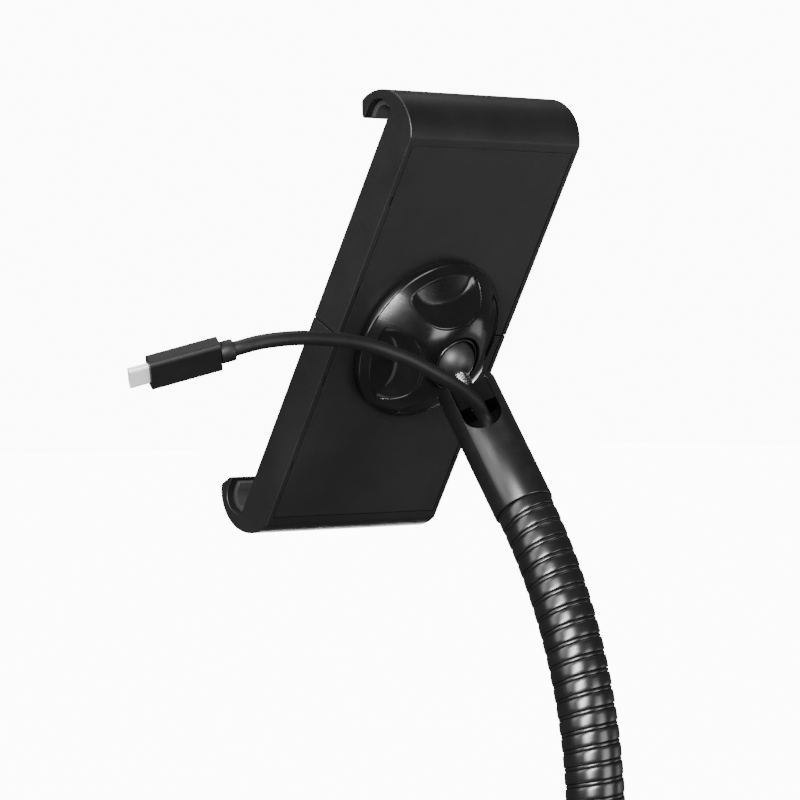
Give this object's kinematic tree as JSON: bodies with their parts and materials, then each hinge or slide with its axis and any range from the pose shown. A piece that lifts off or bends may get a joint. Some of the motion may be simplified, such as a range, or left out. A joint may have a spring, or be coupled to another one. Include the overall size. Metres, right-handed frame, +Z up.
{
  "type": "tablet holder",
  "caption": "Spring clamp tablet holder with hooked ends and a lobed lock knob on a ball joint, on a flexible metal arm with a charging cable inside.",
  "frame": {"origin": "centre of the lower end face of the arm, in the mouth of its threaded hole", "axes": "+Z up along the lower end of the arm, +X to the left seen from behind the clamp, -Y towards the tablet's screen side"},
  "size_m": [0.2103, 0.1592, 0.3639],
  "materials": {
    "black_plastic": "satin black ABS",
    "cover": "fine matt black ABS",
    "gloss_black": "gloss black",
    "sleeve": "satin black coating",
    "hose": "gloss black coating on a ribbed steel hose",
    "steel": "bright steel",
    "spring": "bright spring wire",
    "nylon": "natural white nylon",
    "rubber": "matt black",
    "cable": "soft-touch black",
    "tie": "matt black",
    "plug_shell": "bright nickel plate"
  },
  "bodies": {
    "arm": {"base_sleeve": "sleeve", "base_plug": "steel", "gooseneck": "hose", "cable_inner": "cable", "cable_tail": "cable", "cable_coil": "cable", "cable_tie": "tie", "cable_lead": "cable", "usb_a_body": "cable", "usb_a_shell": "plug_shell"},
    "head": {"neck_sleeve": "sleeve", "neck_plug": "black_plastic", "ball_stud": "steel", "cable_upper": "cable", "cable_collar": "cable", "usb_c_body": "cable", "usb_c_shell": "plug_shell"},
    "cup": {"ball_cup": "nylon"},
    "clamp_ring": {"ball_ring": "black_plastic"},
    "holder": {"holder_core": "black_plastic", "pinion_pin": "steel", "spring_left": "spring", "spring_right": "spring"},
    "gear": {"pinion": "nylon"},
    "knob": {"lock_knob": "gloss_black"},
    "upper_half": {"upper_jaw": "black_plastic", "upper_cover": "cover", "upper_pad": "rubber", "upper_rack": "nylon"},
    "lower_half": {"lower_jaw": "black_plastic", "lower_cover": "cover", "lower_pad": "rubber", "lower_rack": "nylon"}
  },
  "joints": [
    {"name": "neck_bend", "type": "hinge", "parent": "arm", "child": "head", "pos_m": [0, -0.00879, 0.16713], "axis": [1, 0, 0], "range_deg": [-25, 25], "deforming": ["gooseneck", "cable_inner"]},
    {"name": "tilt", "type": "hinge", "parent": "head", "child": "cup", "pos_m": [0, -0.07044, 0.2705], "axis": [1, 0, 0], "range_deg": [-50, 12]},
    {"name": "side_tilt", "type": "hinge", "parent": "cup", "child": "clamp_ring", "pos_m": [0, -0.07044, 0.2705], "axis": [0, 0.4894, 0.8721], "range_deg": [-15, 15]},
    {"name": "spin", "type": "hinge", "parent": "clamp_ring", "child": "holder", "pos_m": [0, -0.07044, 0.2705], "axis": [0, 0.8721, -0.4894], "range_deg": [-180, 180]},
    {"name": "lock_turn", "type": "hinge", "parent": "holder", "child": "knob", "pos_m": [0, -0.08526, 0.27882], "axis": [0, 0.8721, -0.4894], "range_deg": [0, 270]},
    {"name": "jaw_slide", "type": "slide", "parent": "holder", "child": "upper_half", "axis": [0, 0.4894, 0.8721], "range_m": [0, 0.022], "stiffness_N_per_m": 400, "springref_m": -0.02, "deforming": ["spring_left", "spring_right"]},
    {"name": "lower_slide", "type": "slide", "parent": "holder", "child": "lower_half", "axis": [0, -0.4894, -0.8721], "range_m": [0, 0.022]},
    {"name": "gear_turn", "type": "hinge", "parent": "holder", "child": "gear", "pos_m": [0, -0.08526, 0.27882], "axis": [0, 0.8721, -0.4894], "range_deg": [0, 158]}
  ],
  "couplings": [
    {"joint": "lower_slide", "follows": "jaw_slide", "ratio": 1},
    {"joint": "gear_turn", "follows": "jaw_slide", "rad_per_m": 125}
  ]
}
